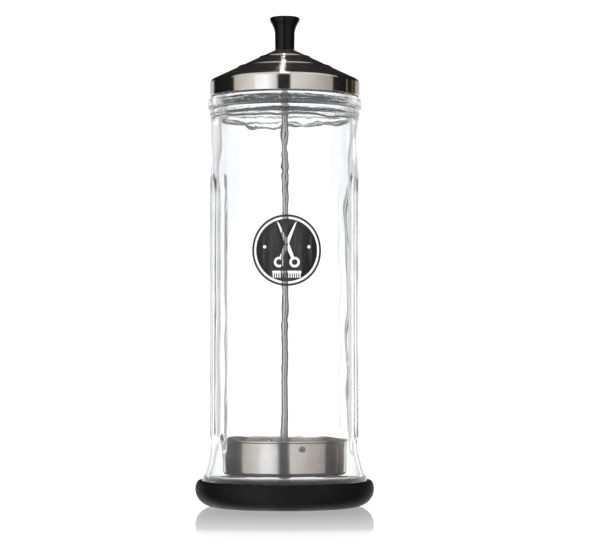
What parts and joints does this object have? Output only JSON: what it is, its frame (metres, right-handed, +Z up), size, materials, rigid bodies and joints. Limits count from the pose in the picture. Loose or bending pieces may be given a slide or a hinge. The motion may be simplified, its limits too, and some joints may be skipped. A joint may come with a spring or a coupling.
{
  "type": "disinfectant jar",
  "caption": "Tall fluted glass disinfectant jar in a black rubber boot, with a steel lid whose knob, rod and perforated pan lift the tools out.",
  "frame": {"origin": "middle of the flat underside of the rubber boot, on the jar's axis", "axes": "+Z up along the jar's axis, which the lid lifts along; the front panel with the badge faces -Y; +X to the right seen from the front"},
  "size_m": [0.108, 0.108, 0.2967],
  "materials": {
    "clear_glass": "clear pressed glass, smooth, slightly wavy inside",
    "boot_rubber": "matt moulded black rubber",
    "badge_print": "charcoal screen print, satin",
    "lid_steel": "polished stainless steel with fine turned lines",
    "knob_plastic": "glossy moulded black plastic",
    "insert_brass": "machined brass",
    "rod_steel": "drawn stainless steel",
    "pan_steel": "drawn stainless steel, satin with turned lines",
    "fastener_steel": "plain machined stainless steel"
  },
  "bodies": {
    "jar": {"glass_jar": "clear_glass", "base_boot": "boot_rubber", "front_label": "badge_print"},
    "lid": {"lid_shell": "lid_steel"},
    "insert": {"knob": "knob_plastic", "knob_insert": "insert_brass", "lift_rod": "rod_steel", "lid_washer": "fastener_steel", "lid_nut": "fastener_steel", "pan": "pan_steel", "pan_washer": "fastener_steel", "pan_upper_nut": "fastener_steel", "pan_lower_nut": "fastener_steel"}
  },
  "joints": [
    {"name": "lid_lift", "type": "slide", "parent": "jar", "child": "lid", "axis": [0, 0, 1], "range_m": [0, 0.25]},
    {"name": "insert_turn", "type": "hinge", "parent": "lid", "child": "insert", "pos_m": [0, 0, 0.277], "axis": [0, 0, 1], "continuous": true}
  ]
}
